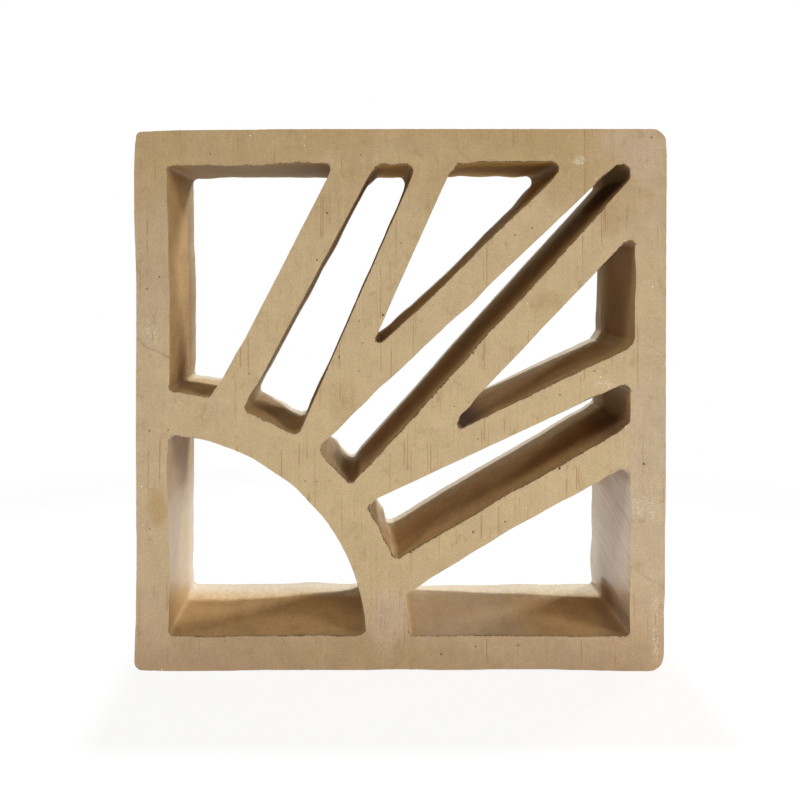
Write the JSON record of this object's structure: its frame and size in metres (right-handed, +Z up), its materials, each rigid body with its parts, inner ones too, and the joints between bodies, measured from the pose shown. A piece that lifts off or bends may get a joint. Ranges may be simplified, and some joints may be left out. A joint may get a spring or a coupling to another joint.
{
  "type": "breeze block",
  "caption": "Square fired-clay breeze block with a quarter sun and rays cut straight through it, laid in mortar as a screen wall that lets light and air pass.",
  "frame": {"origin": "middle of the bottom bed face", "axes": "+Z up from the bottom bed to the top bed, -Y out of the front face, +X to the right as seen from the front; the quarter sun is at the lower left"},
  "size_m": [0.19, 0.065, 0.1935],
  "materials": {
    "clay": "unglazed fired clay, matt wire-cut faces and smoother walls in the openings"
  },
  "bodies": {
    "root": {"block": "clay"}
  },
  "joints": []
}
